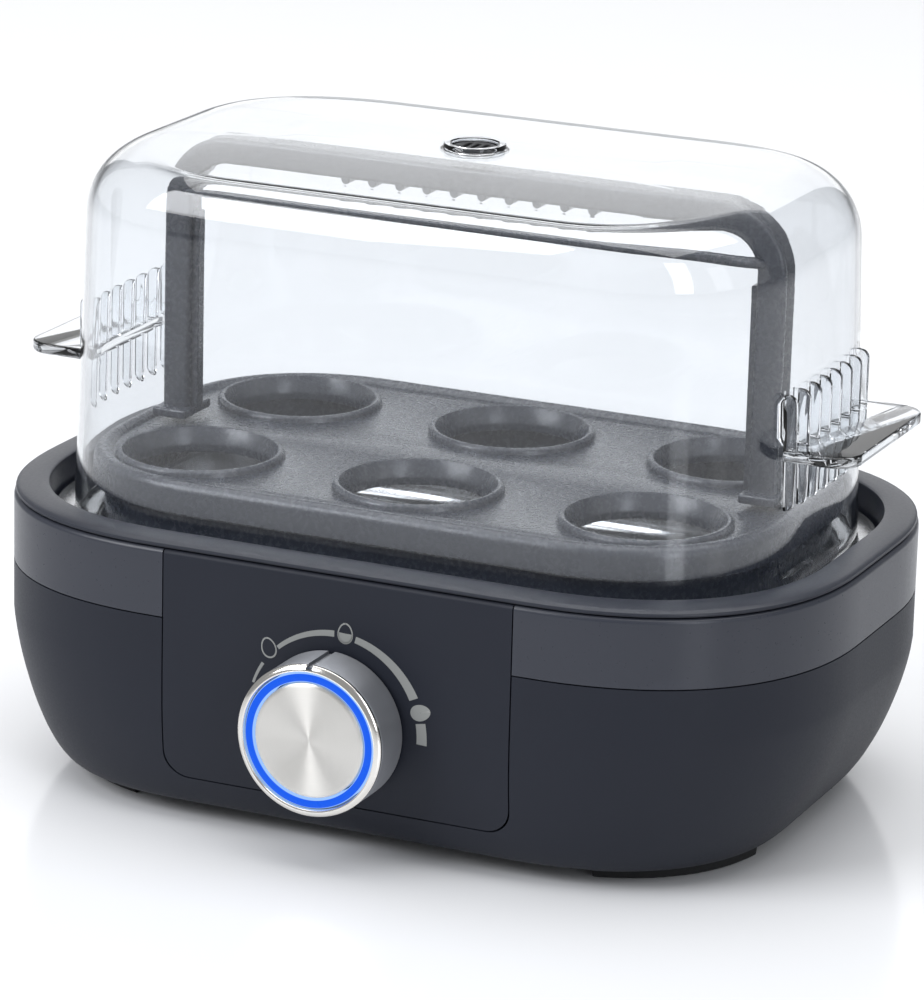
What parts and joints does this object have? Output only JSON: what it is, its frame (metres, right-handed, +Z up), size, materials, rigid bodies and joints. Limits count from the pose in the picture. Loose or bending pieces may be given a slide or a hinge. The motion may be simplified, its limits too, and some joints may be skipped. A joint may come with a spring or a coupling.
{
  "type": "egg cooker",
  "caption": "Electric egg cooker: low oval base with steel water bowl and a turning knob with a lit push button, lift-out egg rack with carrying handle, and a clear lid.",
  "frame": {"origin": "on the surface the feet stand on, under the middle of the whole object's outline, knob and cord gland included", "axes": "+Z up, +X to the right along the object's length, -Y to the front, where the knob is"},
  "size_m": [0.193, 0.145, 0.14],
  "materials": {
    "body_plastic": "fine moulded texture, matte",
    "band_plastic": "satin moulded",
    "rim_plastic": "satin moulded",
    "black_plastic": "matte moulded",
    "rack_plastic": "satin moulded",
    "rubber": "matte",
    "silicone": "matte",
    "bowl_steel": "pressed sheet",
    "element_steel": "drawn tube",
    "screw_steel": "zinc plated",
    "knob_steel": "brushed along its turn",
    "bezel_chrome": "polished",
    "button_steel": "spun brushed",
    "blue_light": "lit diffuser",
    "clear_resin": "clear moulded",
    "lid_clear": "clear polished",
    "aluminium": "rolled",
    "brass": "turned",
    "ceramic": "fired, unglazed",
    "wire_sleeve": "silicone sleeve",
    "circuit_board": "solder mask",
    "relay_blue": "moulded"
  },
  "bodies": {
    "base": {"base_housing": "body_plastic", "front_panel": "body_plastic", "trim_band": "band_plastic", "upper_frame": "rim_plastic", "base_plate": "black_plastic", "cord_gland": "rubber", "water_bowl": "bowl_steel", "bowl_gasket": "silicone", "heat_spreader": "aluminium", "heating_element": "element_steel", "heat_shield": "bowl_steel", "thermostat": "ceramic", "temperature_sensor": "element_steel", "thermal_fuse": "ceramic", "element_terminal_left": "brass", "element_terminal_right": "brass", "lead_wire_left": "wire_sleeve", "lead_wire_right": "wire_sleeve", "board_screw_left": "screw_steel", "board_screw_right": "screw_steel", "led_left": "clear_resin", "led_right": "clear_resin", "control_board": "circuit_board", "rotary_control": "black_plastic", "control_bushing": "brass", "bushing_nut": "screw_steel", "push_switch": "black_plastic", "relay": "relay_blue", "capacitor": "aluminium", "transformer": "black_plastic", "buzzer": "black_plastic", "terminal_block": "ceramic", "foot_1": "rubber", "base_screw_1": "screw_steel", "foot_2": "rubber", "base_screw_2": "screw_steel", "foot_3": "rubber", "base_screw_3": "screw_steel", "foot_4": "rubber", "base_screw_4": "screw_steel"},
    "knob": {"knob_sleeve": "knob_steel", "knob_bezel": "bezel_chrome", "knob_hub": "black_plastic", "knob_shaft": "aluminium", "light_ring": "blue_light"},
    "button": {"power_button": "button_steel"},
    "rack": {"egg_tray": "rack_plastic", "carry_handle": "rack_plastic"},
    "lid": {"lid": "lid_clear", "vent_grille": "black_plastic"}
  },
  "joints": [
    {"name": "knob_turn", "type": "hinge", "parent": "base", "child": "knob", "pos_m": [0, -0.0605, 0.029], "axis": [0, 1, 0], "range_deg": [-60, 105]},
    {"name": "button_press", "type": "slide", "parent": "knob", "child": "button", "axis": [0, 1, 0], "range_m": [0, 0.0012], "stiffness_N_per_m": 300},
    {"name": "rack_lift", "type": "slide", "parent": "base", "child": "rack", "axis": [0, 0, 1], "range_m": [0, 0.09]},
    {"name": "lid_lift", "type": "slide", "parent": "rack", "child": "lid", "axis": [0, 0, 1], "range_m": [0, 0.09]}
  ]
}
